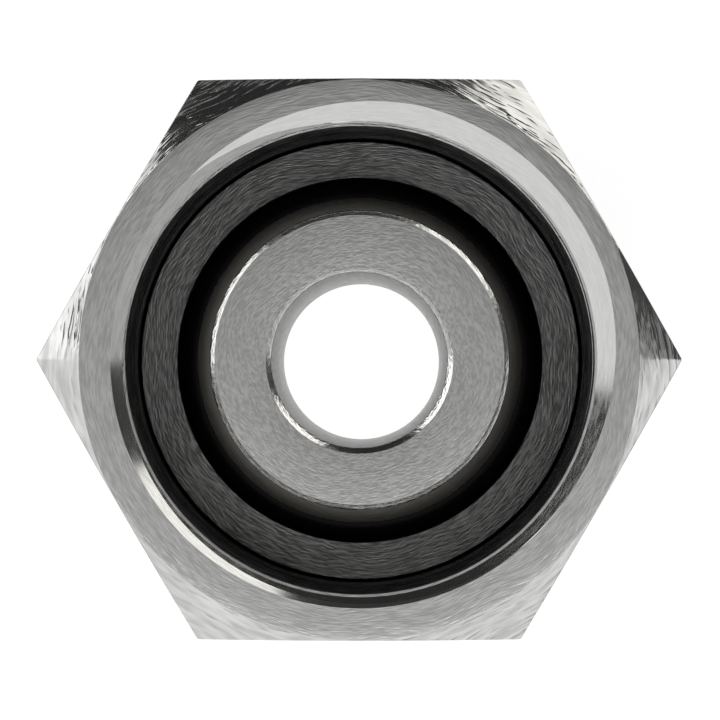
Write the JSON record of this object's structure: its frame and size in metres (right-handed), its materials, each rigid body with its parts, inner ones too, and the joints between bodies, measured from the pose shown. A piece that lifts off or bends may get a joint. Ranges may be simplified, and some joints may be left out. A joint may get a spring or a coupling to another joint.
{
  "type": "tube reducer",
  "caption": "Straight stainless tube reducer: a captive swivel nut over an O-ring cone at the wide end, and a cutting ring with its nut at the narrow tube end.",
  "frame": {"origin": "on the axis, in the plane of the tube nut's end face, which the part stands on", "axes": "+Z along the axis, out of the swivel nut's mouth; +X through two corners of the hexagons"},
  "size_m": [0.022, 0.019, 0.038],
  "materials": {
    "body_steel": "turned, fine circular marks",
    "nut_steel": "turned faces, drawn flats",
    "ring_steel": "turned, satin",
    "seal_rubber": "smooth moulded"
  },
  "bodies": {
    "reducer": {"reducer_body": "body_steel", "cone_o_ring": "seal_rubber"},
    "swivel": {"swivel_nut": "nut_steel"},
    "ring": {"cutting_ring": "ring_steel"},
    "nut": {"tube_nut": "nut_steel"}
  },
  "joints": [
    {"name": "swivel_turn", "type": "hinge", "parent": "reducer", "child": "swivel", "pos_m": [0, 0, 0.03], "axis": [0, 0, 1], "continuous": true},
    {"name": "ring_travel", "type": "slide", "parent": "reducer", "child": "ring", "axis": [0, 0, 1], "range_m": [-0.006, 0]},
    {"name": "nut_turn", "type": "hinge", "parent": "ring", "child": "nut", "pos_m": [0, 0, 0.007], "axis": [0, 0, 1], "range_deg": [-1440, 0]}
  ],
  "couplings": [
    {"joint": "ring_travel", "follows": "nut_turn", "m_per_rad": 0.00023873}
  ]
}
